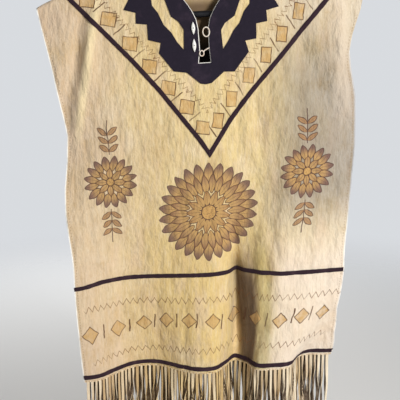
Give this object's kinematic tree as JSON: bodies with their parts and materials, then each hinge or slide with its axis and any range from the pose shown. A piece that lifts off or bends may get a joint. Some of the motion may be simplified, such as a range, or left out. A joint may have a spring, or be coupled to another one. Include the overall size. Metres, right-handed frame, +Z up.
{
  "type": "fringed buckskin poncho on a hanger",
  "caption": "Sleeveless buckskin poncho with stepped yoke, laced neck slit, dark strips and fringed hems, hung on a plain black tubular hanger.",
  "frame": {"origin": "inner top of the hanger's hook, where a rod or a nail carries the poncho", "axes": "+Z up, +Y from the front of the poncho to its back, +X to the right as seen from the front"},
  "size_m": [0.6534, 0.1158, 1.1234],
  "materials": {
    "buckskin": "matt suede, smoked tan, soft mottling",
    "fringe_buckskin": "matt suede with pale cut edges",
    "yoke_suede": "matt dark aubergine suede",
    "strip_suede": "matt dark brown suede",
    "bone": "polished bone, creamy white",
    "rawhide": "pale smooth rawhide",
    "black_plastic": "satin black moulding"
  },
  "bodies": {
    "root": {"front_panel": "buckskin", "back_panel": "buckskin", "yoke_applique": "yoke_suede", "v_strip_left": "strip_suede", "v_strip_right": "strip_suede", "waist_strip": "strip_suede", "hem_strip": "strip_suede", "front_fringe": "fringe_buckskin", "back_fringe": "fringe_buckskin", "toggle_upper": "bone", "toggle_lower": "bone", "loop_upper": "rawhide", "loop_lower": "rawhide", "hanger": "black_plastic"}
  },
  "joints": []
}
